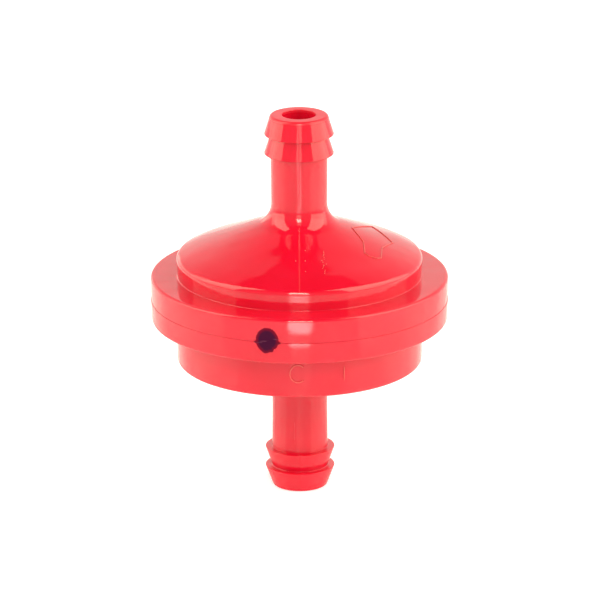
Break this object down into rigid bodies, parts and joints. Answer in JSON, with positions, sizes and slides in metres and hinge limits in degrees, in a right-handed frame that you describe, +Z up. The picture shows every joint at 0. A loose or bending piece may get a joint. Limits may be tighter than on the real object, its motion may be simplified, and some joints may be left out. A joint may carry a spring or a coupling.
{
  "type": "inline fuel filter",
  "caption": "Inline fuel filter: two red moulded shells welded at a round rim, a barbed hose stem at each end and a woven screen inside.",
  "frame": {"origin": "centre of the outlet stem's flat end, which the filter stands on", "axes": "+Z up along the stems' common axis towards the inlet; -Y faces the viewer of the picture, with the ink mark a little to -X of it"},
  "size_m": [0.0354, 0.0354, 0.046],
  "materials": {
    "red_plastic": "glossy moulded red",
    "screen_nylon": "woven nylon, natural white",
    "stamp_ink": "dark purple stamping ink"
  },
  "bodies": {
    "root": {"outlet_shell": "red_plastic", "outlet_stem": "red_plastic", "inlet_shell": "red_plastic", "inlet_stem": "red_plastic", "filter_screen": "screen_nylon", "ink_mark": "stamp_ink"}
  },
  "joints": []
}
